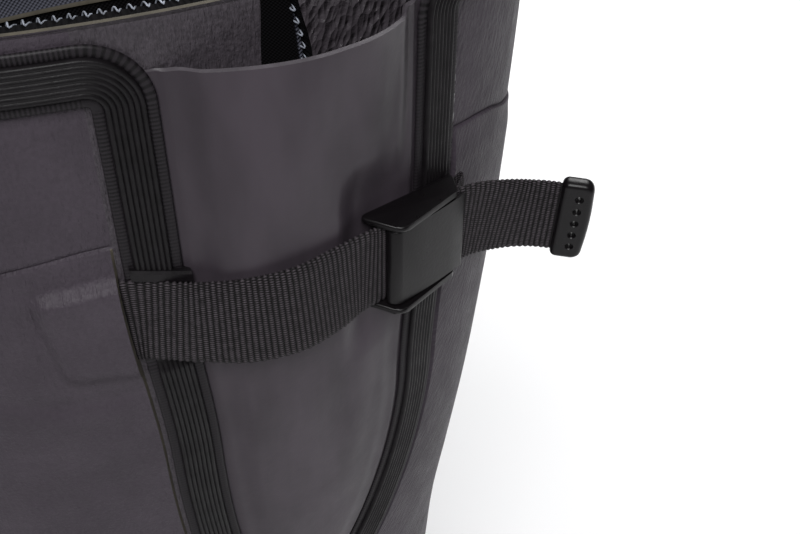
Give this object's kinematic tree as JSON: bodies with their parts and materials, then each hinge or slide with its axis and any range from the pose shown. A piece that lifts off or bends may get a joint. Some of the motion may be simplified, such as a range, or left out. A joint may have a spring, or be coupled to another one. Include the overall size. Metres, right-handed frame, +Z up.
{
  "type": "neoprene wellington boot",
  "caption": "Tall left wellington boot of rubber over neoprene, with lugged sole, ribbed binding and a collar gusset drawn in by a webbing strap and cam buckle.",
  "frame": {"origin": "on the floor under the middle of the heel, at the heel's centre lug", "axes": "+X to the toe, +Y to the outer side of the left foot, +Z up the shaft"},
  "size_m": [0.3219, 0.1148, 0.4153],
  "materials": {
    "sole_rubber": "matte black moulded rubber",
    "upper_rubber": "matte charcoal rubber with a fine grain",
    "gusset_rubber": "smooth satin charcoal rubber sheet",
    "tape": "satin black ribbed tape",
    "webbing": "black ribbed polyester webbing",
    "plastic": "satin black moulded plastic",
    "footbed": "dark blue-grey knitted lining on foam"
  },
  "bodies": {
    "root": {"outsole": "sole_rubber", "insole": "footbed", "upper": "upper_rubber", "gusset": "gusset_rubber", "binding_tape": "tape", "strap_anchor": "upper_rubber", "strap": "webbing", "strap_tip": "plastic", "buckle_frame": "plastic", "buckle_lever": "plastic", "buckle_pin": "plastic", "buckle_loop": "webbing"}
  },
  "joints": []
}
